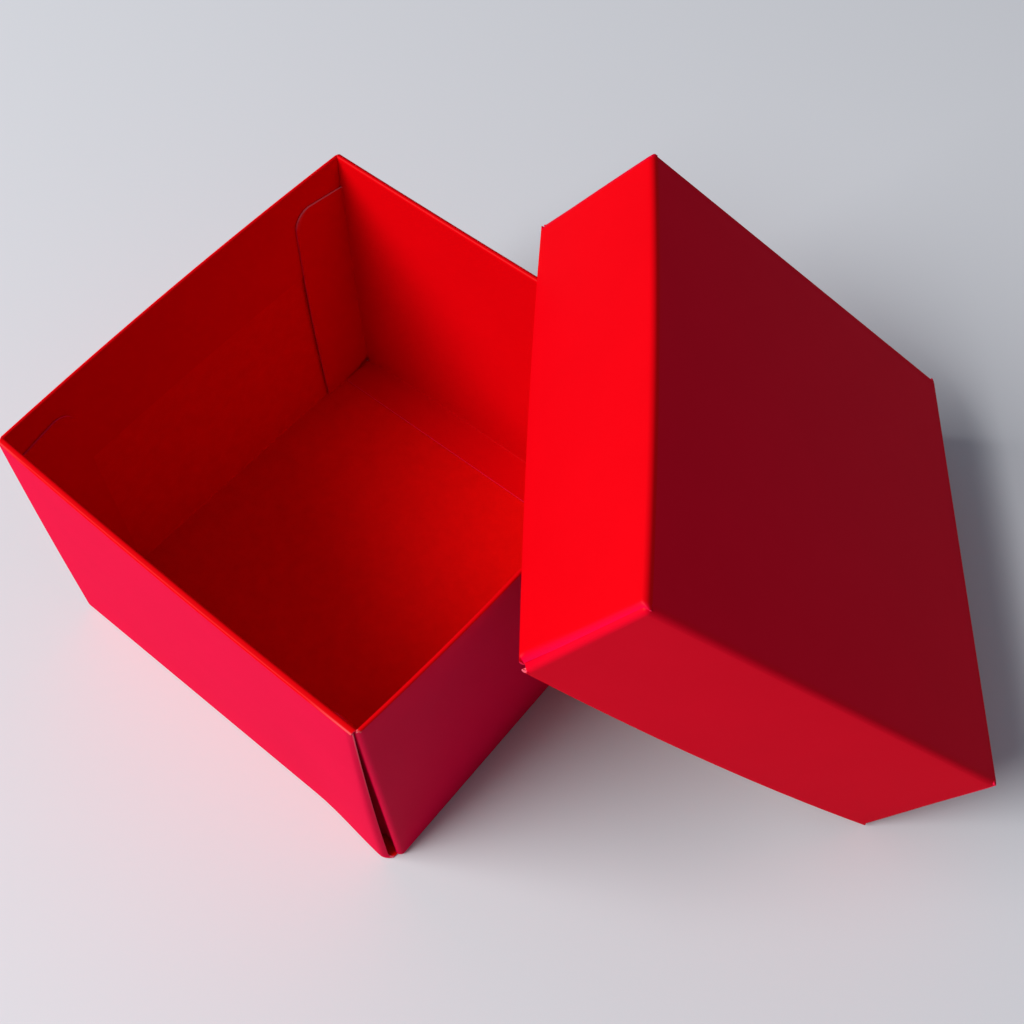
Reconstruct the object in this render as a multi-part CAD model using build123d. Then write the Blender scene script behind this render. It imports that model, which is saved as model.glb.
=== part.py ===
# Folding gift box in coated card: an open tray and its lift-off lid, leaning over one corner of the tray.
# Each piece is one blank, folded and tucked. Millimetres, +Z up, origin at the middle of the underside.
import os
from dataclasses import dataclass
from math import asin, degrees, sqrt

from build123d import *

# Card
card = 0.4  # thickness of the sheet
crease = 0.3  # inside radius of a plain fold
corner_crease = 0.9  # inside radius of the fold at an upright corner
layer_gap = 0.1  # air between two layers that lie on each other
fold_flat = 0.5  # flat of the floor that runs out to each wall's fold

# Rims, measured across both layers of a wall
double_rim = 1.5  # doubled walls, which hold the corner tabs between their layers
hemmed_rim = 1.1  # hemmed walls
roll_share = 0.35  # inside radius of a rim's folds, as a share of the air between the layers

# Flaps of the blank
foot_width = 9.5  # strip of a doubled wall's inner panel that lies on the floor
ear_width = 14.8  # ends of the inner panel that turn along the hemmed walls
ear_drop = 8.8  # ear's top below the rim
ear_lift = 1.5  # ear's lower edge above the floor's underside
ear_round = 5.0  # radius of the ear's free corner
tab_length = 22.0  # corner tabs of the hemmed walls
tab_drop = 0.8  # tab's top below the rim
tab_lift = 0.8  # tab's lower edge above the floor's underside
tab_round = 4.0  # radius of the tab's free corners
bow_steps = 8  # straight lengths that a bowed wall is laid out in

# Tray
tray_side = 100.0
tray_height = 73.5
tray_hem = 27.0  # depth of the turned-in hem
tray_lean = 0.0  # rim further out than the floor fold, on each side
tray_bow = 1.8  # bulge of a hemmed wall's rim at mid length
tray_slit_floor = 2.0  # corner slit beside a doubled wall, at the floor
tray_slit_rim = 0.4  # the same slit at the rim

# Lid
lid_fit = 1.0  # air between the tray's walls and the lid's, on each side
lid_depth = 31.5
lid_hem = 14.0
lid_lean = 1.1
lid_bow = 1.5
lid_slit_floor = 0.5
lid_slit_rim = 1.5
lid_side = tray_side + 2 * (double_rim + lid_fit)

# How the lid leans: its lower rim on the ground, its upper rim across two rims of the tray
lid_turn = 36.7  # degrees about +Z
rest_gap = 0.1  # air under the upper rim
rest_back_x = 17.9  # middle of the upper rim, back from the tray's corner along X
rest_back_y = 30.8  # and along Y


def strip_section(corners, radii, place):
    """Section of a folded strip: card laid about the line through corners, with a right-angled fold of the
    given inside radius at each inner corner. place puts a point of the section into space."""
    spots = [Vector(*corner) for corner in corners]
    ways = [(end - start).normalized() for start, end in zip(spots, spots[1:])]
    lefts = [Vector(-way.Y, way.X) for way in ways]
    edges = []
    caps = []
    for offset in (card / 2, -card / 2):
        first = spots[0] + lefts[0] * offset
        run = first
        for i, radius in enumerate(radii):
            hand = 1 if ways[i].cross(ways[i + 1]).Z > 0 else -1
            bend = radius + card / 2 - hand * offset
            corner = spots[i + 1] + (lefts[i] + lefts[i + 1]) * offset
            start = corner - ways[i] * bend
            end = corner + ways[i + 1] * bend
            centre = start + lefts[i] * (hand * bend)
            middle = centre + (corner - centre) * sqrt(0.5)
            edges.append(Line(place(run), place(start)))
            edges.append(ThreePointArc(place(start), place(middle), place(end)))
            run = end
        last = spots[-1] + lefts[-1] * offset
        edges.append(Line(place(run), place(last)))
        caps.append((first, last))
    for here, there in zip(*caps):
        edges.append(Line(place(here), place(there)))
    return make_face(edges)


def block(low, high):
    """Solid between two level rectangles, each given as x from, x to, y from, y to, z."""
    faces = []
    for x0, x1, y0, y1, z in (low, high):
        ring = Polyline((x0, y0, z), (x1, y0, z), (x1, y1, z), (x0, y1, z), close=True)
        faces.append(make_face(ring))
    return loft(faces, ruled=True)


def across(part):
    """The part and its mirror image across the XZ plane."""
    return [part, mirror(part, about=Plane.XZ)]


def around(part):
    """The part and its copy turned half round the box."""
    return [part, Rot(0, 0, 180) * part]


@dataclass
class FoldedBox:
    """One blank folded into an open box, with its floor at z 0. The walls at -Y and +Y are doubled: they
    roll over at the rim, come down inside to a foot on the floor, and end in ears. The walls at -X and +X
    have a short hem, and corner tabs that are tucked between the layers of the doubled walls."""

    side: float
    height: float
    hem: float
    lean: float
    bow: float
    slit_floor: float
    slit_rim: float

    def __post_init__(self):
        self.half = self.side / 2
        self.fold_top = card + crease
        self.floor_half = self.half - self.fold_top - fold_flat
        self.double_fold = roll_share * (double_rim - 2 * card)
        self.hemmed_fold = roll_share * (hemmed_rim - 2 * card)
        self.tab_line = self.half - double_rim / 2
        self.ear_line = self.half - hemmed_rim - layer_gap - card / 2
        self.hemmed_end = self.tab_line - card - corner_crease
        corner_room = self.ear_line - self.fold_top
        self.inner_end = min(corner_room, self.half - self.slit_floor - layer_gap)
        self.flap_top = self.height - ear_drop

    def drift(self, z, reach):
        """How far a wall has moved outwards at height z, when its rim has moved by reach."""
        return reach * max(0.0, z - self.fold_top) / (self.height - self.fold_top)

    def out(self, z):
        """Shift of a wall's end along its length at height z, so that neighbours lean out together."""
        return self.lean * z / self.height

    def floor_panel(self):
        return Pos(0, 0, card / 2) * Box(2 * self.floor_half, 2 * self.floor_half, card)

    def doubled_wall(self):
        """The wall at -Y: outer panel with slanted ends, rolled rim, inner panel and foot in one strip."""
        outer_line = self.half - card / 2
        inner_line = self.half - double_rim + card / 2
        foot_level = card + layer_gap + card / 2
        corners = [
            (self.floor_half, card / 2),
            (outer_line, card / 2),
            (outer_line, self.height - card / 2),
            (inner_line, self.height - card / 2),
            (inner_line, foot_level),
            (self.half - double_rim - foot_width, foot_level),
        ]
        radii = [crease, self.double_fold, self.double_fold, crease]
        low_end = self.half - self.slit_floor
        high_end = self.half + self.lean - self.slit_rim

        def at_end(hand):
            def place(spot):
                end = low_end + (high_end - low_end) * spot.Y / self.height
                return Vector(hand * end, -spot.X - self.drift(spot.Y, self.lean), spot.Y)

            return strip_section(corners, radii, place)

        wall = loft([at_end(-1), at_end(1)], ruled=True)
        trims = []
        for z in (card + layer_gap / 2, self.height - double_rim):
            beyond = self.half + self.lean + double_rim
            between = self.half - double_rim / 2 + self.drift(z, self.lean)
            trims.append((self.inner_end + self.out(z), beyond, -between, 0, z))
        trim = block(*trims)
        return wall - [trim, mirror(trim, about=Plane.YZ)]

    def ear(self):
        """End of the doubled wall's inner panel, turned along the hemmed wall at +X."""

        def at_level(z):
            panel_line = -self.half - self.drift(z, self.lean) + double_rim - card / 2
            ear_line = self.ear_line + self.drift(z, self.lean)
            ear_end = -self.half - self.drift(z, self.lean) + double_rim + ear_width
            base = self.inner_end + self.out(z)
            corners = [(base, panel_line), (ear_line, panel_line), (ear_line, ear_end)]
            return strip_section(corners, [crease], lambda spot: Vector(spot.X, spot.Y, z))

        ear = loft([at_level(ear_lift), at_level(self.flap_top)], ruled=True)
        free_corner = ear.edges().filter_by(Axis.X).group_by(Axis.Y)[-1].sort_by(Axis.Z)[-1]
        return fillet(free_corner, ear_round)

    def hemmed_wall(self):
        """The wall at +X: outer panel, tight rolled rim and short hem in one strip, bowed lengthwise."""
        outer_line = self.half - card / 2
        inner_line = self.half - hemmed_rim + card / 2
        corners = [
            (self.floor_half, card / 2),
            (outer_line, card / 2),
            (outer_line, self.height - card / 2),
            (inner_line, self.height - card / 2),
            (inner_line, self.height - self.hem),
        ]
        radii = [crease, self.hemmed_fold, self.hemmed_fold]

        def at_station(share, reach):
            def place(spot):
                along = share * (self.hemmed_end + self.out(spot.Y))
                return Vector(spot.X + self.drift(spot.Y, reach), along, spot.Y)

            return strip_section(corners, radii, place)

        stations = []
        for step in range(bow_steps + 1):
            share = 2 * step / bow_steps - 1
            stations.append(at_station(share, self.lean + self.bow * (1 - share**2)))
        return loft(stations, ruled=True)

    def corner_tab(self):
        """Tab of the hemmed wall at +X, folded in along the doubled wall at -Y."""

        def at_level(z):
            wall_line = self.half - card / 2 + self.drift(z, self.lean)
            tab_line = -self.tab_line - self.drift(z, self.lean)
            start = -self.hemmed_end - self.out(z)
            corners = [(wall_line, start), (wall_line, tab_line), (wall_line - tab_length, tab_line)]
            return strip_section(corners, [corner_crease], lambda spot: Vector(spot.X, spot.Y, z))

        tab = loft([at_level(tab_lift), at_level(self.height - tab_drop)], ruled=True)
        free_corners = tab.edges().filter_by(Axis.Y).group_by(Axis.X)[0]
        return fillet(free_corners, tab_round)

    def solid(self):
        doubled = [self.doubled_wall()] + [self.ear(), mirror(self.ear(), about=Plane.YZ)]
        hemmed = [self.hemmed_wall()] + across(self.corner_tab())
        pieces = []
        for piece in doubled + hemmed:
            pieces += around(piece)
        return self.floor_panel() + pieces


def leaning_lid(lid):
    """Puts the lid, made as an open box, upside down over the tray's corner, on two rims and the ground."""
    rim_span = lid.side + 2 * lid.lean - double_rim
    tilt = degrees(asin((tray_height + rest_gap) / rim_span))
    lean_over = Rot(0, 0, lid_turn) * Rot(0, tilt, 0) * Rot(0, 0, 90) * Rot(180, 0, 0)
    tilted = lean_over * lid.solid()
    upper_rim = (lean_over * Pos(0, -lid.half - lid.lean, lid.height)).position
    move_x = tray_side / 2 - rest_back_x - upper_rim.X
    move_y = tray_side / 2 - rest_back_y - upper_rim.Y
    return Pos(move_x, move_y, -tilted.bounding_box().min.Z) * tilted


tray = FoldedBox(tray_side, tray_height, tray_hem, tray_lean, tray_bow, tray_slit_floor, tray_slit_rim)
lid = FoldedBox(lid_side, lid_depth, lid_hem, lid_lean, lid_bow, lid_slit_floor, lid_slit_rim)

os.makedirs("parts", exist_ok=True)
export_step(tray.solid(), "parts/tray.step")
export_step(leaning_lid(lid), "parts/lid.step")
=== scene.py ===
# Red folding gift box: an open tray, and its lift-off lid leaning over one corner of the tray.
import bpy
import numpy as np
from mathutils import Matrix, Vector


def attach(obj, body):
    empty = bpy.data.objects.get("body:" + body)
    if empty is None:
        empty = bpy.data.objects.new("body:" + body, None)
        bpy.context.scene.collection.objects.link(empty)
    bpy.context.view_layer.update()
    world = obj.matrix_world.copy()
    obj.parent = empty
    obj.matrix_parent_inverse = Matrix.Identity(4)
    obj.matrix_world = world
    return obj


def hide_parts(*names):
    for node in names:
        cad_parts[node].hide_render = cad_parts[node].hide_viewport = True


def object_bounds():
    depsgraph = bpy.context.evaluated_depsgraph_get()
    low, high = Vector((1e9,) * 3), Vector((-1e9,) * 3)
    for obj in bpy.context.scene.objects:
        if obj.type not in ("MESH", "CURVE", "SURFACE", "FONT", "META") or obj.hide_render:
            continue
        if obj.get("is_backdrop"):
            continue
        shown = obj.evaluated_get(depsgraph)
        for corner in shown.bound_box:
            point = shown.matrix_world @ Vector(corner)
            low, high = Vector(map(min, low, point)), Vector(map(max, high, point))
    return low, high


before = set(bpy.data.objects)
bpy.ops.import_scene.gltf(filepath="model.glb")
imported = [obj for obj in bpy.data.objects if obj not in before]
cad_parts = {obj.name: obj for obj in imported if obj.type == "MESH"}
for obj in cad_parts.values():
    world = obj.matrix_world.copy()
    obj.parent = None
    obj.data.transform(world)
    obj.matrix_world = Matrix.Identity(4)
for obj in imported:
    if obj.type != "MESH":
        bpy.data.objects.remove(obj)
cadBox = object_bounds()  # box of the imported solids
mm = 0.001
print("frame loaded:", sorted(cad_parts))

# The sheet both pieces are folded from, in millimetres
card = {
    "thick": 0.4,
    "layerGap": 0.1,  # air between layers that lie on each other
    "crease": 0.3,  # radius of an ear's fold
    "cornerFold": 1.2,  # outside radius of an upright corner fold
    "cornerSpare": 0.1,  # how far that radius exceeds the floor fold's, at least
    "foldFlat": 0.5,  # flat of the floor beside each fold
    "doubleRim": 1.5,  # width of a doubled wall's rim
    "hemmedRim": 0.9,  # width of a hemmed wall's rim
    "rollShare": 0.2,  # rim fold's inside radius, as a share of the air between layers
    "rimButt": 0.02,  # air where a hemmed rim's end meets the neighbour's roll
    "footWidth": 9.5,  # strip of an inner panel that lies on the floor
    "footFold": 0.15,  # radius of the fold above the foot
    "earWidth": 14.8,
    "earDrop": 8.8,  # ear's top below the rim
    "earSlant": 1.6,  # rise of the ear's top towards its free end
    "earLift": 2.4,  # height of the ear's lower edge at its fold
    "earFall": 0.3,  # share of the ear's width in which that edge comes down to the floor
    "earRound": 4.4,  # radius of the ear's free corner
    "wingGap": 0.05,  # air between an inner panel's upper end and the hem
    "slackPower": 0.7,  # how fully an inner panel stands off above and below its middle
    "tabLength": 22.0,
    "tabDrop": 0.8,  # tab's top below the rim
    "drawLength": 20.0,  # length of a tab that gives way when it is drawn in
    "dipLength": 8.0,  # length of the dip in a tab
    "slitFoot": 0.9,  # height over which a slit opens
    "slitShut": 0.55,  # share of a slit's width at its foot
    "cornerPower": 1.6,  # above 1, a corner's values change faster near the rim
    "aslantFull": 1.5,  # draw at which the floor's corner is cut off completely
    "aslantFrom": 0.5,  # draw from which that cut is set back
    "aslantBack": 0.3,  # set-back for each millimetre past that
    "flareLength": 24.0,  # length over which a panel's end stands off
    "wearAndHighlightLength": 12.0,  # length at the end of a doubled rim over which its crease turns paler, partly rubbed and partly a painted highlight
    "settleInset": 3.0,  # width beside a wall that settles as far as the wall does
    "rowStep": 1.4,  # spacing of the mesh rows
    "columns": 45,  # mesh columns along a wall
    "tabColumns": 10,
    "wingColumns": 8,
    "arcSteps": 6,  # mesh steps in one fold
    "weldDigits": 4,  # decimals in which points have to agree to be welded
    "hair": 0.001,  # how near to a cut end a point still counts as the end
    "sharpAngle": 50.0,  # degrees, above which an edge is shaded sharp
}


# Eases from 0 to 1 while x goes from 0 to 1
def ease(x):
    x = np.clip(x, 0, 1)
    return x * x * (3 - 2 * x)


# Fold line: straight runs between corners, each corner rounded by an arc of the radius given.
# The printed side is on the left of the run. Also gives the row where each run starts.
def foldLine(corners, radii):
    spots = np.asarray(corners, float)
    ways = np.diff(spots, axis=0)
    ways /= np.linalg.norm(ways, axis=1)[:, None]
    lefts = np.stack([-ways[:, 1], ways[:, 0]], 1)
    arc = np.linspace(0, 1, card["arcSteps"] + 1)[:-1]
    points, normals, starts = [], [], []
    here, count = spots[0], 0
    for run, way in enumerate(ways):
        starts.append(count)
        radius = radii[run] if run < len(radii) else 0.0
        turn = 0.0
        if radius:
            nextWay = ways[run + 1]
            turn = np.arctan2(way[0] * nextWay[1] - way[1] * nextWay[0], way @ nextWay)
        cut = radius * np.tan(abs(turn) / 2)
        end = spots[run + 1] - way * cut
        steps = max(1, int(round(np.linalg.norm(end - here) / card["rowStep"])))
        points.append(here + (end - here) * np.linspace(0, 1, steps + 1)[:-1, None])
        normals.append(np.repeat(lefts[run : run + 1], steps, 0))
        count += steps
        here = end
        if radius:
            hand = np.sign(turn)
            cos, sin = np.cos(arc * turn), np.sin(arc * turn)
            left = lefts[run]
            spun = np.stack([left[0] * cos - left[1] * sin, left[0] * sin + left[1] * cos], 1)
            points.append(end + left * hand * radius - spun * hand * radius)
            normals.append(spun)
            count += len(arc)
            here = spots[run + 1] + ways[run + 1] * cut
    points.append(here[None])
    normals.append(lefts[-1:])
    return np.concatenate(points), np.concatenate(normals), starts


# One folded blank as a list of grid patches, in the box's own frame: floor at z 0, open at the top.
# Walls 0 and 2 face +X and -X and are hemmed, walls 1 and 3 face +Y and -Y and are doubled.
# A wall's own coordinates are a along it, d outwards and z up; hand 1 is its end at +a.
def foldedBlank(box):
    half, height = box["side"] / 2, box["height"]
    thick, crease = card["thick"], card["crease"]
    foldTop = thick + box["crease"]
    floorHalf = half - foldTop - card["foldFlat"]
    doubleRim, hemmedRim = card["doubleRim"], card["hemmedRim"]
    cornerFold = max(card["cornerFold"], foldTop + card["cornerSpare"])
    doubleRoll = card["rollShare"] * (doubleRim - 2 * thick) + thick
    hemmedRoll = card["rollShare"] * (hemmedRim - 2 * thick) + thick
    tabFace = half - doubleRim / 2 + thick / 2
    earFace = half - hemmedRim - card["layerGap"] - thick
    earFold = earFace - thick / 2 - crease
    innerEnds = {}  # where each doubled wall's inner panel turns into its ears
    for key, corner in box["corners"].items():
        innerEnds[key] = min(earFold, half - max(corner["slit"]) - card["layerGap"])
    flapTop = height - card["earDrop"]
    # Columns crowd towards the ends of a wall
    spread = np.sin(np.pi / 2 * np.linspace(-1, 1, card["columns"]))[None]
    quarter = np.linspace(0, np.pi / 2, card["arcSteps"] + 1)[None]
    patches = []

    def place(wall, a, d, z):
        cos, sin = np.cos(wall * np.pi / 2), np.sin(wall * np.pi / 2)
        return np.stack([d * cos - a * sin, d * sin + a * cos, z], -1)

    # One grid of points with their normals; hand -1 puts it at the wall's other end.
    # Painted reflection: what is turned inwards stays warm red, and the rest is painted as cool as its
    # wall's share, or cooler where a panel's end curls
    def addPatch(wall, a, d, z, na, nd, nz, wearAndHighlight=0.0, hand=1, inward=False, curlReflection=0.0):
        tone = np.where(inward, 0.0, np.maximum(box["walls"][wall]["paintedReflection"], curlReflection))
        grids = np.broadcast_arrays(hand * a, d, z, hand * na, nd, nz, wearAndHighlight, tone)
        patch = [place(wall, *grids[:3]), place(wall, *grids[3:6]), *grids[6:]]
        patches.append([grid[:, ::hand] for grid in patch])

    # A corner's value at height z, between its values at the floor and at the rim
    def atCorner(wall, hand, key, z):
        low, high = box["corners"][wall % 4, hand][key]
        return low + (high - low) * np.clip(z / height, 0, 1) ** card["cornerPower"]

    # Width of the slit at a corner, closing towards the floor's fold
    def slitAt(wall, hand, z):
        shut = card["slitShut"]
        return atCorner(wall, hand, "slit", z) * (shut + (1 - shut) * ease(z / card["slitFoot"]))

    # How far a corner's tab is drawn in: most at the corner, nothing at the tab's end, and a dip between
    def drawn(wall, hand, a, z):
        inset = half - np.abs(a)
        way = np.clip((inset - cornerFold) / card["dipLength"], 0, 1)
        dip = atCorner(wall, hand, "dip", z) * (4 * way * (1 - way)) ** 2
        share = ease((card["tabLength"] - inset) / card["drawLength"])
        return atCorner(wall, hand, "draw", z) * share + dip

    # Hemmed walls: hem, rolled rim, outer panel and floor fold; at each end a corner fold and a tab
    hemCorners = [
        (half - hemmedRim, height - box["hem"]),
        (half - hemmedRim, height),
        (half, height),
        (half, height - card["tabDrop"]),
        (half, 0),
        (floorHalf, 0),
    ]
    points, normals, starts = foldLine(hemCorners, [hemmedRoll, hemmedRoll, 0, foldTop])
    d, z, nd, nz = points[:, :1], points[:, 1:], normals[:, :1], normals[:, 1:]
    isHem = np.arange(len(points))[:, None] < starts[2]
    top = slice(0, starts[3] + 1)
    turn = slice(starts[3], starts[4] + 1)
    tab = slice(starts[3], starts[4] - card["arcSteps"] + 1)
    radius = cornerFold - (half - d[turn])
    tabRun = half - cornerFold - np.linspace(0, card["tabLength"] - cornerFold, card["tabColumns"])[None]
    # The rim's end butts against the neighbour's roll
    roundOver = np.clip((z[top] - height) / doubleRoll + 1, 0, 1)
    rimEnd = half - doubleRim - card["rimButt"] + doubleRoll * (1 - np.sqrt(1 - roundOver**2))
    isRoll = z[top] > height - doubleRoll
    hemEnds = {}
    for wall in (0, 2):
        ends = {hand: tabFace - cornerFold - drawn(wall + hand, -hand, half, z) for hand in (1, -1)}
        hemEnds[wall] = ends
        along = np.where(spread > 0, spread * ends[1], spread * ends[-1])
        addPatch(wall, along, d, z, 0.0, nd, nz, inward=isHem)
        for hand in (1, -1):
            besideTab = tabFace - thick - card["layerGap"] - drawn(wall + hand, -hand, half, z[top])
            stop = np.where(isRoll, rimEnd, np.minimum(rimEnd, besideTab))
            over = ends[hand][top] + (stop - ends[hand][top]) * np.linspace(0, 1, 3)[None]
            bare = isRoll * atCorner(wall + hand, -hand, "tip", z[top]) * np.array([[0, 0, 1]])
            addPatch(wall, over, d[top], z[top], 0.0, nd[top], nz[top], bare, hand, isHem[top])
            a = ends[hand][turn] + radius * np.sin(quarter)
            across = half - cornerFold + radius * np.cos(quarter)
            sides = nd[turn] * np.sin(quarter), nd[turn] * np.cos(quarter)
            addPatch(wall, a, across, z[turn], *sides, nz[turn], 0.0, hand)
            a = tabFace - drawn(wall + hand, -hand, tabRun, z[tab])
            addPatch(wall, a, tabRun, z[tab], 1.0, 0.0, 0.0, 0.0, hand)

    # Doubled walls: foot, inner panel with ears, rolled rim, outer panel and floor fold
    footTop = 2 * thick + card["layerGap"]
    rounds = flapTop - card["earRound"] * (1 - np.sin(quarter[0]))
    count = len(rounds)
    inner = half - doubleRim
    columns = {}
    for wall in (1, 3):
        slant = box["walls"][wall]["slant"]
        lift = doubleRoll * (np.tan(np.pi / 4 + np.arctan(slant / doubleRim) / 2) - 1)
        doubleCorners = [
            (inner - card["footWidth"], footTop),
            (inner, footTop),
            (inner, card["earLift"]),
            *[(inner, level) for level in rounds],
            (inner, height - doubleRim),
            (inner, height + lift),
            (half, height + lift - slant),
            (half, 0),
            (floorHalf, 0),
        ]
        doubleRadii = [card["footFold"]] + [0] * (count + 2) + [doubleRoll, doubleRoll, foldTop]
        points, normals, starts = foldLine(doubleCorners, doubleRadii)
        d, z, nd, nz = points[:, :1], points[:, 1:], normals[:, :1], normals[:, 1:]
        index = np.arange(len(points))[:, None]
        isInner = index < starts[count + 3]
        isOuter = index >= starts[count + 5]
        rise = np.clip((z - footTop) / (height - doubleRim - footTop), 0, 1)
        slack = isInner * box["slack"] * np.sin(np.pi * rise) ** card["slackPower"]
        follow = isInner * np.clip((d - inner) / card["footWidth"] + 1, 0, 1)
        fold = isOuter * np.clip((d - floorHalf) / (half - floorHalf), 0, 1)
        # Rows in the middle of the rim's inner crease, paler near the ends: partly rubbed wear, partly a
        # painted highlight
        creaseWearAndHighlight = np.abs(index - starts[count + 5] + card["arcSteps"] // 2) <= 1

        # One strip of the wall. The inner panel gives way to the tabs, and the outer panel's ends curl
        # inwards, their depth growing with the square of the way into the curled strip
        def addStrip(a, rows, hand=1):
            level, size = z[rows], np.abs(a)
            pick = lambda find: np.where(a * hand > 0, find(1), find(-1))
            corner = lambda key: pick(lambda side: atCorner(wall, side, key, level))
            ends = half - pick(lambda side: slitAt(wall, side, level))
            way = np.clip((size - ends) / box["curlWidth"] + 1, 0, 1)
            curl = fold[rows] * corner("curl")
            give = follow[rows] * pick(lambda side: drawn(wall, side, size, level))
            slope = 2 * curl * way / box["curlWidth"] * np.sign(a) * nd[rows]
            # Paler crease near the end: partly wear, partly a painted highlight
            wearAndHighlight = creaseWearAndHighlight[rows] * corner("wearAndHighlight") * ease((size - ends) / card["wearAndHighlightLength"] + 1)
            bare = isOuter[rows] * (size > ends - card["hair"]) * corner("bare")
            flare = fold[rows] * corner("flare") * ease((size - half) / card["flareLength"] + 1)
            across = d[rows] - slack[rows] - give - curl * way**2 + flare
            wearAndHighlight = np.maximum(wearAndHighlight, bare)
            # The curled strip at a panel's end is painted cooler, a painted reflection
            inward, curlReflection = ~isOuter[rows], fold[rows] * way
            addPatch(wall, a, across, level, slope, nd[rows], nz[rows], wearAndHighlight, hand, inward, curlReflection)

        wing = slice(starts[2 + count], None)
        ear = slice(starts[2], starts[2 + count] + 1)
        tall = (z[ear] - card["earLift"]) / (flapTop - card["earLift"])
        over = np.clip(z[ear] - rounds[0], 0, card["earRound"]) / card["earRound"]
        shorter = card["earRound"] * (1 - np.sqrt(1 - over**2))
        columns[wall] = np.where(spread > 0, spread * innerEnds[wall, 1], spread * innerEnds[wall, -1])
        addStrip(columns[wall], slice(None))
        for hand in (1, -1):
            innerEnd = innerEnds[wall, hand]
            ends = half - slitAt(wall, hand, z[wing])
            ends = np.where(isInner[wing], np.minimum(ends, half - hemmedRim - card["wingGap"]), ends)
            steps = np.linspace(0, 1, card["wingColumns"])[None]
            addStrip(innerEnd + (ends - innerEnd) * steps, wing, hand)
            earLine = [(0, 0), (earFace - innerEnd, 0), (earFace - innerEnd, -card["earWidth"])]
            section, sides, _ = foldLine(earLine, [crease])
            section, sides = section.T[:, None], -sides.T[:, None]
            free = np.clip(-section[1] - crease, 0, None) / (card["earWidth"] - crease)
            drop = (card["earLift"] - thick) * ease(free / card["earFall"]) * (1 - tall)
            earLevel = z[ear] + card["earSlant"] * free * tall - drop
            base = d[ear] - slack[ear] - drawn(wall, hand, innerEnd, z[ear])
            across = base + section[1] + shorter * free
            cutEnd = np.maximum(tall == 1, over * (free > 1 - card["hair"]))
            bare = cutEnd * atCorner(wall, hand, "bare", flapTop)
            along = innerEnd + section[0]
            addPatch(wall, along, across, earLevel, *sides, 0.0, bare, hand, inward=True)

    # Floor, printed side down; its lines run between the columns of the opposite walls
    share = np.concatenate([[0], (spread[0] + 1) / 2, [1]])
    lined = lambda line: np.concatenate([[-floorHalf], line, [floorHalf]])
    hemLine = lambda low, high: lined(np.where(spread[0] > 0, high[-1], low[-1]) * spread[0])
    south, north = lined(columns[3][0]), lined(-columns[1][0][::-1])
    west, east = hemLine(hemEnds[2][1], hemEnds[2][-1]), hemLine(hemEnds[0][-1], hemEnds[0][1])
    gridX = south[None] * (1 - share[:, None]) + north[None] * share[:, None]
    gridY = west[:, None] * (1 - share[None]) + east[:, None] * share[None]
    flat = np.stack([gridX, gridY, np.zeros(gridY.shape)], -1)
    # Where a tab is drawn in, the floor's corner is cut off aslant
    floorCorners = {(3, -1): (0, 0), (3, 1): (0, -1), (1, 1): (-1, 0), (1, -1): (-1, -1)}
    beside = {0: 1, -1: -2}
    for key, (i, j) in floorCorners.items():
        draw = box["corners"][key]["draw"][0]
        middle = (flat[beside[i], j] + flat[i, beside[j]]) / 2
        flat[i, j] += (middle - flat[i, j]) * ease(draw / card["aslantFull"])
        flat[i, j] -= np.sign(flat[i, j]) * card["aslantBack"] * max(draw - card["aslantFrom"], 0)
    down = np.broadcast_to([0.0, 0.0, -1.0], flat.shape)
    # The floor's outside is painted cooler by its share of painted reflection
    patches.append([flat, down, np.zeros(gridY.shape), np.full(gridY.shape, box["floorPaintedReflection"])])

    # How the folded walls settle: each bows at its rim and swells at mid height, and its neighbours go
    # along near the shared corner. The floor domes out towards wall 3. Last, the eight corners move, and
    # what lies between them goes along
    for patch in patches:
        nominal = patch[0]
        x, y, z = np.moveaxis(nominal, -1, 0)
        rise = np.clip((z - foldTop) / (height - foldTop), 0, 1)
        moved = nominal.copy()
        for wall, shape in box["walls"].items():
            cos, sin = np.cos(wall * np.pi / 2), np.sin(wall * np.pi / 2)
            share = np.clip((y * cos - x * sin) / half, -1, 1)
            low, high, middle = (1 - share) / 2, (1 + share) / 2, 1 - share**2
            swell = shape["ends"][0] * low + shape["ends"][1] * high + shape["belly"] * middle
            push = shape["bow"] * middle * rise + swell * np.sin(np.pi * rise)
            push = push * np.clip((x * cos + y * sin) / (half - card["settleInset"]), 0, 1)
            moved[..., 0] += push * cos
            moved[..., 1] += push * sin
        east, north = np.clip((1 + x / half) / 2, 0, 1), np.clip((1 + y / half) / 2, 0, 1)
        high = np.clip(z / height, 0, 1)
        moved[..., 2] -= box["dome"] * 4 * east * (1 - east) * (1 - north) * (1 - high)
        shares = [(1 - east) * (1 - north), east * (1 - north), east * north, (1 - east) * north]
        for share, atFloor, atRim in zip(shares, box["floorMoves"], box["rimMoves"]):
            moved += (share * (1 - high))[..., None] * atFloor
            moved += (share * high)[..., None] * atRim
        patch[0] = moved
    return patches


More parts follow.
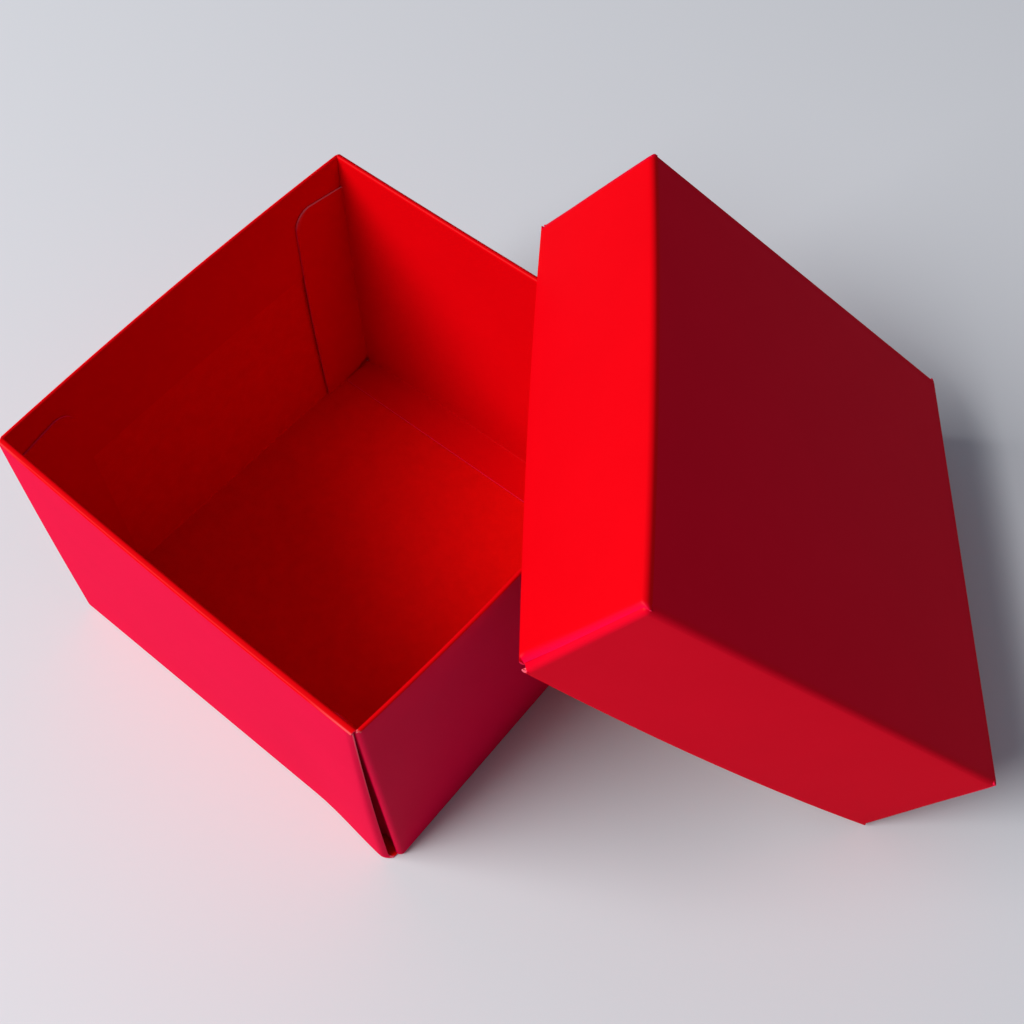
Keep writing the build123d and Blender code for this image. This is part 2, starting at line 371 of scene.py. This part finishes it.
# Closes a blank's patches into one sheet of card: patches are welded where they meet, the reverse side
# lies one thickness behind the printed side, and a strip of cut edge follows every free border.
def sheetMesh(name, patches, finishes):
    points = np.concatenate([patch[0].reshape(-1, 3) for patch in patches])
    normals = np.concatenate([patch[1].reshape(-1, 3) for patch in patches])
    wearAndHighlight, paintedReflection = [np.concatenate([patch[part].ravel() for patch in patches]) for part in (2, 3)]
    quads, base = [], 0
    for grid in [patch[0] for patch in patches]:
        index = base + np.arange(grid.shape[0] * grid.shape[1]).reshape(grid.shape[:2])
        around = [index[:-1, :-1], index[1:, :-1], index[1:, 1:], index[:-1, 1:]]
        quads.append(np.stack(around, -1).reshape(-1, 4))
        base += index.size
    rounded = np.round(points, card["weldDigits"])
    _, first, welded = np.unique(rounded, axis=0, return_index=True, return_inverse=True)
    quads = welded.ravel()[np.concatenate(quads)]
    points, normals, wearAndHighlight, paintedReflection = points[first], normals[first], wearAndHighlight[first], paintedReflection[first]
    normals = normals / np.linalg.norm(normals, axis=1)[:, None]
    count = len(points)
    edges = np.concatenate([quads[:, [0, 1]], quads[:, [1, 2]], quads[:, [2, 3]], quads[:, [3, 0]]])
    keys = np.sort(edges, axis=1) @ np.array([count, 1])
    _, back, uses = np.unique(keys, return_inverse=True, return_counts=True)
    border = edges[uses[back.ravel()] == 1]
    rim = np.column_stack([border[:, 1], border[:, 0], border[:, 0] + count, border[:, 1] + count])
    faces = np.concatenate([quads, quads[:, ::-1] + count, rim])
    finish = np.repeat([0, 1, 2], [len(quads), len(quads), len(rim)])
    solid = np.concatenate([points, points - normals * card["thick"]])
    mesh = bpy.data.meshes.new(name)
    mesh.from_pydata(solid * mm, [], faces)
    for material in finishes:
        mesh.materials.append(material)
    mesh.polygons.foreach_set("material_index", finish.astype(np.int32))
    # Stored per point: the pale crease and bare core, partly a painted highlight, and the share of
    # painted reflection
    for label, values in (("wearAndHighlight", wearAndHighlight), ("paintedReflection", paintedReflection)):
        attribute = mesh.attributes.new(label, "FLOAT", "POINT")
        attribute.data.foreach_set("value", np.tile(values, 2).astype(np.float32))
    mesh.shade_smooth()
    mesh.set_sharp_from_angle(angle=np.radians(card["sharpAngle"]))
    mesh.update()
    piece = bpy.data.objects.new(name, mesh)
    bpy.context.scene.collection.objects.link(piece)
    print(name, "quads", len(faces), "border", len(border))
    return piece


# A new material with values on its shader's own sockets
def newFinish(name, sockets):
    material = bpy.data.materials.new(name)
    material.use_nodes = True
    tree = material.node_tree
    shader = tree.nodes["Principled BSDF"]
    for key, value in sockets.items():
        shader.inputs[key].default_value = value
    return material, tree, shader


# One node with its settings
def addNode(tree, kind, **values):
    node = tree.nodes.new(kind)
    for key, value in values.items():
        if key in node.inputs:
            node.inputs[key].default_value = value
        else:
            setattr(node, key, value)
    return node


# Noise that stays with the piece
def addNoise(tree, values):
    noise = addNode(tree, "ShaderNodeTexNoise", **values)
    place = addNode(tree, "ShaderNodeTexCoord")
    tree.links.new(place.outputs["Object"], noise.inputs["Vector"])
    return noise.outputs["Fac"]


# Small relief from a height
def addBump(tree, shader, height, values):
    bump = addNode(tree, "ShaderNodeBump", **values)
    tree.links.new(height, bump.inputs["Height"])
    tree.links.new(bump.outputs["Normal"], shader.inputs["Normal"])


# A value stored with the mesh
def addStored(tree, name):
    return addNode(tree, "ShaderNodeAttribute", attribute_name=name).outputs["Fac"]


# A mix of two colours, each a value or another node's output
def addMix(tree, factor, *colours):
    mix = addNode(tree, "ShaderNodeMix", data_type="RGBA")
    tree.links.new(factor, mix.inputs[0])
    for socket, colour in zip(mix.inputs[6:8], colours):
        if isinstance(colour, tuple):
            socket.default_value = colour
        else:
            tree.links.new(colour, socket)
    return mix.outputs[2]


# Coated face: satin red, faintly cloudy, painted cooler where it is turned outwards as a painted
# reflection of the pale surroundings, and pale where the rim's crease is rubbed or painted with a
# highlight
def coatedFinish():
    look = {
        "red": (0.77, 0.0004, 0.004, 1),
        "deepRed": (0.71, 0.0002, 0.003, 1),
        # Red with a painted reflection of the pale, cool surroundings
        "paintedReflection": (0.77, 0.0004, 0.050, 1),
        "deepPaintedReflection": (0.71, 0.0002, 0.044, 1),
        # Pale pink of a rubbed crease, partly a painted highlight, and of bare core
        "wearAndHighlightRed": (0.88, 0.30, 0.36, 1),
        "cloud": {"Scale": 60.0, "Detail": 5.0, "Roughness": 0.6},
        "tooth": {"Scale": 2600.0, "Detail": 3.0},
        "roughness": {"To Min": 0.50, "To Max": 0.60},
        "relief": {"Strength": 0.10, "Distance": 0.00005},
        "sockets": {"Specular IOR Level": 0.0, "Coat Weight": 0.08, "Coat Roughness": 0.36},
    }
    material, tree, shader = newFinish("coatedRedCard", look["sockets"])
    cloud = addNoise(tree, look["cloud"])
    warm = addMix(tree, cloud, look["deepRed"], look["red"])
    cool = addMix(tree, cloud, look["deepPaintedReflection"], look["paintedReflection"])
    # The stored share of painted reflection turns the warm red into the cool one
    reds = addMix(tree, addStored(tree, "paintedReflection"), warm, cool)
    # Rubbed crease, partly a painted highlight, and bare ends turn pale
    colour = addMix(tree, addStored(tree, "wearAndHighlight"), reds, look["wearAndHighlightRed"])
    tree.links.new(colour, shader.inputs["Base Color"])
    gloss = addNode(tree, "ShaderNodeMapRange", **look["roughness"])
    tree.links.new(cloud, gloss.inputs["Value"])
    tree.links.new(gloss.outputs["Result"], shader.inputs["Roughness"])
    addBump(tree, shader, addNoise(tree, look["tooth"]), look["relief"])
    return material


# Reverse face: the same red without the coating, mottled and matte
def reverseFinish():
    look = {
        "pale": (0.88, 0.0015, 0.0020, 1),
        "dark": (0.69, 0.0005, 0.0010, 1),
        "mottle": {"Scale": 240.0, "Detail": 6.0, "Roughness": 0.7},
        "fibre": {"Scale": 1500.0, "Detail": 4.0},
        "relief": {"Strength": 0.25, "Distance": 0.00008},
        "sockets": {"Roughness": 0.75, "Specular IOR Level": 0.06},
    }
    material, tree, shader = newFinish("reverseRedCard", look["sockets"])
    colour = addMix(tree, addNoise(tree, look["mottle"]), look["dark"], look["pale"])
    tree.links.new(colour, shader.inputs["Base Color"])
    addBump(tree, shader, addNoise(tree, look["fibre"]), look["relief"])
    return material


# Cut edge: red dragged over the core by the knife, and the pale core itself where it is bare
def cutFinish():
    look = {
        "core": (0.95, 0.015, 0.10, 1),
        "dragged": (0.86, 0.005, 0.045, 1),
        "bare": (0.92, 0.52, 0.58, 1),
        "drag": {"Scale": 900.0, "Detail": 3.0},
        "sockets": {"Roughness": 0.85, "Specular IOR Level": 0.1},
    }
    material, tree, shader = newFinish("cutRedCard", look["sockets"])
    reds = addMix(tree, addNoise(tree, look["drag"]), look["core"], look["dragged"])
    colour = addMix(tree, addStored(tree, "wearAndHighlight"), reds, look["bare"])
    tree.links.new(colour, shader.inputs["Base Color"])
    return material


finishes = [coatedFinish(), reverseFinish(), cutFinish()]
print("finishes made")


# End of a doubled wall, with pairs of values at the floor and at the rim: slit is the gap to the corner,
# curl how far the panel's last edge bends inwards, draw how far the tab behind it is pulled in, dip how
# far the tab sinks beside the corner, flare how far the panel stands off, and bare how much pale core
# shows in the cut edges. The crease value is how pale the rim's crease turns near the corner, partly
# rubbed wear and partly a painted highlight, and tip how much core shows at the end of the neighbour's
# rim
def wallEnd(slit, curl, draw, dip=(0, 0), flare=(0, 0), bare=(0, 0), wearAndHighlight=0.0, tip=0.0):
    pairs = {"slit": slit, "curl": curl, "draw": draw, "dip": dip, "flare": flare, "bare": bare}
    return {**pairs, "wearAndHighlight": (wearAndHighlight, wearAndHighlight), "tip": (tip, tip)}


# Tray, standing on the ground. For each wall: bow is how far its rim stands out at mid length, belly the
# panel at mid height, ends its two ends at mid height, slant how far a doubled rim slopes down outwards,
# and the last value how far the red of its outside is painted cooler, as a painted reflection.
# Corners move in the order -X-Y, +X-Y, +X+Y, -X+Y
tray = {
    "side": 100.0,
    "height": 73.5,
    "hem": 27.0,
    "crease": 0.4,  # inside radius of the floor's folds
    "curlWidth": 1.6,  # width of the strip that curls at a panel's end
    "slack": 0.4,  # how far the inner panels stand off at mid height
    "dome": 0.0,  # how far the floor's edge at wall 3 stands out
    "floorPaintedReflection": 1.0,  # how far the floor's outside red is painted cooler, a painted reflection
    "floorMoves": [(-0.9, -0.9, 0.0), (0.6, -0.2, 0.0), (0.0, 0.0, 0.0), (0.0, 0.0, 0.0)],
    "rimMoves": [(1.75, -0.4, 0.0), (0.0, -1.3, 0.0), (0.0, 0.8, 0.0), (0.0, 0.8, 0.0)],
    "walls": {
        0: {"bow": 2.0, "belly": 0.3, "ends": (0.0, 0.0), "slant": 0.0, "paintedReflection": 1.0},
        1: {"bow": -0.3, "belly": 0.2, "ends": (0.0, 0.0), "slant": 1.0, "paintedReflection": 1.0},
        2: {"bow": 1.2, "belly": 0.5, "ends": (0.0, 0.6), "slant": 0.0, "paintedReflection": 1.0},
        3: {"bow": 0.5, "belly": 0.3, "ends": (0.0, 0.0), "slant": 0.2, "paintedReflection": 1.0},
    },
    "corners": {
        (3, 1): wallEnd(
            slit=(2.2, 0.9),
            curl=(1.2, 0.5),
            draw=(0.6, 0.4),
            dip=(1.8, 0.4),
            flare=(1.7, 0.0),
            bare=(0.15, 0.3),
            wearAndHighlight=0.25,
            tip=0.4,
        ),
        (3, -1): wallEnd((0.2, 0.4), (0.0, 0.1), (0.0, 0.0), wearAndHighlight=0.1),
        (1, 1): wallEnd((1.6, 0.4), (0.5, 0.1), (0.9, 0.0), bare=(0.2, 0.35)),
        (1, -1): wallEnd((1.6, 0.4), (0.5, 0.1), (0.9, 0.0), bare=(0.2, 0.35)),
    },
}
trayPiece = sheetMesh("folded_tray", foldedBlank(tray), finishes)

# Lid: made as an open box, then turned over and leaned on the tray's corner
lid = {
    "side": 105.0,
    "height": 31.5,
    "hem": 14.0,
    "crease": 0.8,
    "curlWidth": 1.4,
    "slack": 0.3,
    "dome": 1.0,
    "lean": 1.1,  # how far the rims stand out
    # The lid's top gets less painted reflection than the tray, and its lamp-lit wall 3 almost none
    "floorPaintedReflection": 0.4,
    "floorMoves": [(0.45, -1.35, 1.0), (1.1, 0.0, 0.0), (0.0, 0.0, 0.0), (0.0, 0.86, -0.97)],
    "rimMoves": [(-1.1, -1.1, 0.0), (1.1, -1.1, 0.0), (1.1, 1.1, 0.0), (-1.75, 1.1, 0.0)],
    "walls": {
        0: {"bow": 1.2, "belly": 0.2, "ends": (0.0, 0.0), "slant": 0.0, "paintedReflection": 0.3},
        1: {"bow": 0.0, "belly": 0.2, "ends": (0.0, 0.0), "slant": 0.2, "paintedReflection": 0.3},
        2: {"bow": 1.5, "belly": 0.2, "ends": (0.0, 0.0), "slant": 0.0, "paintedReflection": 0.3},
        3: {"bow": 1.0, "belly": 0.2, "ends": (0.0, 0.0), "slant": 0.2, "paintedReflection": 0.03},
    },
    "corners": {
        (3, 1): wallEnd((0.9, 1.5), (0.4, 0.6), (0.15, 0.3)),
        (3, -1): wallEnd((0.8, 1.5), (0.8, 1.0), (0.0, 0.6), tip=0.25),
        (1, 1): wallEnd((0.3, 1.0), (0.5, 1.0), (0.0, 0.7)),
        (1, -1): wallEnd((0.3, 1.0), (0.5, 1.0), (0.0, 0.7)),
    },
    "turn": 36.7,  # degrees about +Z
    "restGap": 0.1,  # air over the tray's rims, for the tilt
    "backX": 17.9,  # middle of the upper rim, back from the tray's corner along X
    "backY": 30.8,  # and along Y
}


# Rotation by degrees about one axis, as a matrix
def spin(axis, degrees):
    angle = np.radians(degrees)
    cos, sin = np.cos(angle), np.sin(angle)
    i, j = [(1, 2), (2, 0), (0, 1)][axis]
    matrix = np.eye(3)
    matrix[i, i] = matrix[j, j] = cos
    matrix[i, j], matrix[j, i] = -sin, sin
    return matrix


# Leaning lid: upside down, tilted so that its upper rim lies over the tray's, turned, set on the ground
def leanOver(patches):
    half = lid["side"] / 2 + lid["lean"]
    tilt = np.degrees(np.arcsin((tray["height"] + lid["restGap"]) / (2 * half - card["doubleRim"])))
    turnOver = spin(2, lid["turn"]) @ spin(1, tilt) @ spin(2, 90) @ spin(0, 180)
    upperRim = turnOver @ np.array([0, -half, lid["height"]])
    rest = np.array([tray["side"] / 2 - lid["backX"], tray["side"] / 2 - lid["backY"], 0])
    move = rest - upperRim
    move[2] = -min((points @ turnOver[2]).min() for points, *_ in patches)
    leaning = []
    for points, normals, *tones in patches:
        leaning.append([points @ turnOver.T + move, normals @ turnOver.T, *tones])
    return leaning


lidPiece = sheetMesh("folded_lid", leanOver(foldedBlank(lid)), finishes)

for piece, node in ((trayPiece, "tray"), (lidPiece, "lid")):
    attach(piece, "root")
    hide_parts(node)
print("tray and lid folded")

# Ground: a plain pale table top
ground = {
    "size": 6.0,
    "drop": 0.00005,  # air under the tray, so that no faces coincide
    "sockets": {"Base Color": (0.68, 0.705, 0.765, 1), "Roughness": 0.6},
}
reach = ground["size"] / 2
groundMesh = bpy.data.meshes.new("ground")
corners = np.array([(-1, -1), (1, -1), (1, 1), (-1, 1)]) * reach
groundMesh.from_pydata(np.column_stack([corners, np.full(4, -ground["drop"])]), [], [(0, 1, 2, 3)])
groundPiece = bpy.data.objects.new("ground", groundMesh)
bpy.context.scene.collection.objects.link(groundPiece)
groundMesh.materials.append(newFinish("paleTable", ground["sockets"])[0])
groundPiece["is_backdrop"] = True

# Light: one wide soft lamp from the front left, and a dim cool surround
light = {
    "from": (-0.40, -0.63, 0.68),  # direction towards the lamp
    "distance": 2.0,
    "width": 1.6,
    "depth": 1.0,
    "power": 52.0,
    "colour": (1.0, 0.97, 0.93),
    "surround": (0.82, 0.89, 1.0),
    "surroundStrength": 0.20,
}
lampData = bpy.data.lights.new("softLamp", "AREA")
lampData.shape = "RECTANGLE"
lampData.size, lampData.size_y = light["width"], light["depth"]
lampData.energy = light["power"]
lampData.color = light["colour"]
lamp = bpy.data.objects.new("softLamp", lampData)
bpy.context.scene.collection.objects.link(lamp)
way = np.array(light["from"]) / np.linalg.norm(light["from"])
lamp.location = way * light["distance"]
lamp.rotation_euler = lamp.location.to_track_quat("Z", "Y").to_euler()
world = bpy.data.worlds.new("surround")
world.use_nodes = True
surround = world.node_tree.nodes["Background"]
surround.inputs["Color"].default_value = (*light["surround"], 1)
surround.inputs["Strength"].default_value = light["surroundStrength"]
bpy.context.scene.world = world

# Camera at the photograph's place, looking down on the corner of the tray
camera = {
    "place": (130.03, -99.6, 293.56),  # millimetres
    "right": (0.77112, 0.63649, -0.01596),
    "down": (0.53754, -0.66426, -0.51943),
    "ahead": (-0.34121, 0.39197, -0.85437),
    "lens": 47.44,
    "sensor": 36.0,
    "nearest": 0.01,  # metres
}
cameraData = bpy.data.cameras.new("camera")
cameraData.lens = camera["lens"]
cameraData.sensor_width = camera["sensor"]
cameraData.clip_start = camera["nearest"]
cameraPiece = bpy.data.objects.new("camera", cameraData)
bpy.context.scene.collection.objects.link(cameraPiece)
pose = np.eye(4)
pose[:3, 0] = camera["right"]
pose[:3, 1] = -np.array(camera["down"])
pose[:3, 2] = -np.array(camera["ahead"])
pose[:3, 3] = np.array(camera["place"]) * mm
cameraPiece.matrix_world = pose.T
bpy.context.scene.camera = cameraPiece
bpy.context.scene.view_settings.view_transform = "Standard"
print("stage, light and camera set")

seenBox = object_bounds()
{"cad": [list(corner) for corner in cadBox], "visual": [list(corner) for corner in seenBox]}
